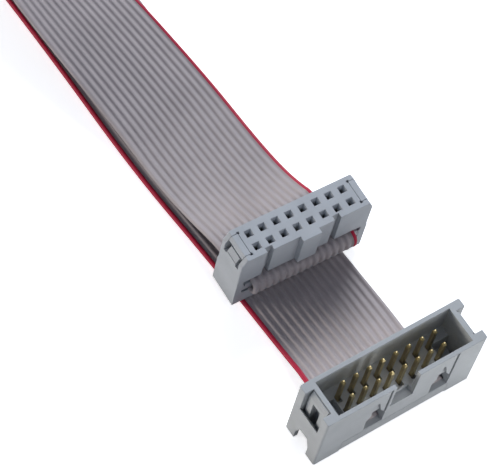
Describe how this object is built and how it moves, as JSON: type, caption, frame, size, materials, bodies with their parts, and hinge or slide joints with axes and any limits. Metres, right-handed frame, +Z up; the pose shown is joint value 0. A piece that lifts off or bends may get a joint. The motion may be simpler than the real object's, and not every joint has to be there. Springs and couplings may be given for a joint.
{
  "type": "idc ribbon cable",
  "caption": "Grey flat ribbon cable with a red edge wire, ending in a two-row female insulation-displacement socket and a two-row male shrouded plug.",
  "frame": {"origin": "on the table, midway between the outer sides of the two connectors, under the ribbon", "axes": "+X along the cable from the socket to the plug, +Y along the two rows of pins, +Z up out of both mating faces"},
  "size_m": [0.2018, 0.0378, 0.0209],
  "materials": {
    "ribbon_pvc": "satin extruded PVC, one edge wire red",
    "socket_moulding": "smooth moulded PBT, light blue-grey",
    "plug_moulding": "smooth moulded PBT, light neutral grey",
    "gold_contact": "gold-plated copper alloy"
  },
  "bodies": {
    "root": {"ribbon_cable": "ribbon_pvc", "socket_body": "socket_moulding", "socket_cover": "socket_moulding", "socket_strain_relief": "socket_moulding", "plug_body": "plug_moulding", "plug_cover": "plug_moulding", "plug_contact_01": "gold_contact", "plug_contact_02": "gold_contact", "plug_contact_03": "gold_contact", "plug_contact_04": "gold_contact", "plug_contact_05": "gold_contact", "plug_contact_06": "gold_contact", "plug_contact_07": "gold_contact", "plug_contact_08": "gold_contact", "plug_contact_09": "gold_contact", "plug_contact_10": "gold_contact", "plug_contact_11": "gold_contact", "plug_contact_12": "gold_contact", "plug_contact_13": "gold_contact", "plug_contact_14": "gold_contact", "plug_contact_15": "gold_contact", "plug_contact_16": "gold_contact", "socket_contact_01": "gold_contact", "socket_contact_02": "gold_contact", "socket_contact_03": "gold_contact", "socket_contact_04": "gold_contact", "socket_contact_05": "gold_contact", "socket_contact_06": "gold_contact", "socket_contact_07": "gold_contact", "socket_contact_08": "gold_contact", "socket_contact_09": "gold_contact", "socket_contact_10": "gold_contact", "socket_contact_11": "gold_contact", "socket_contact_12": "gold_contact", "socket_contact_13": "gold_contact", "socket_contact_14": "gold_contact", "socket_contact_15": "gold_contact", "socket_contact_16": "gold_contact"}
  },
  "joints": []
}
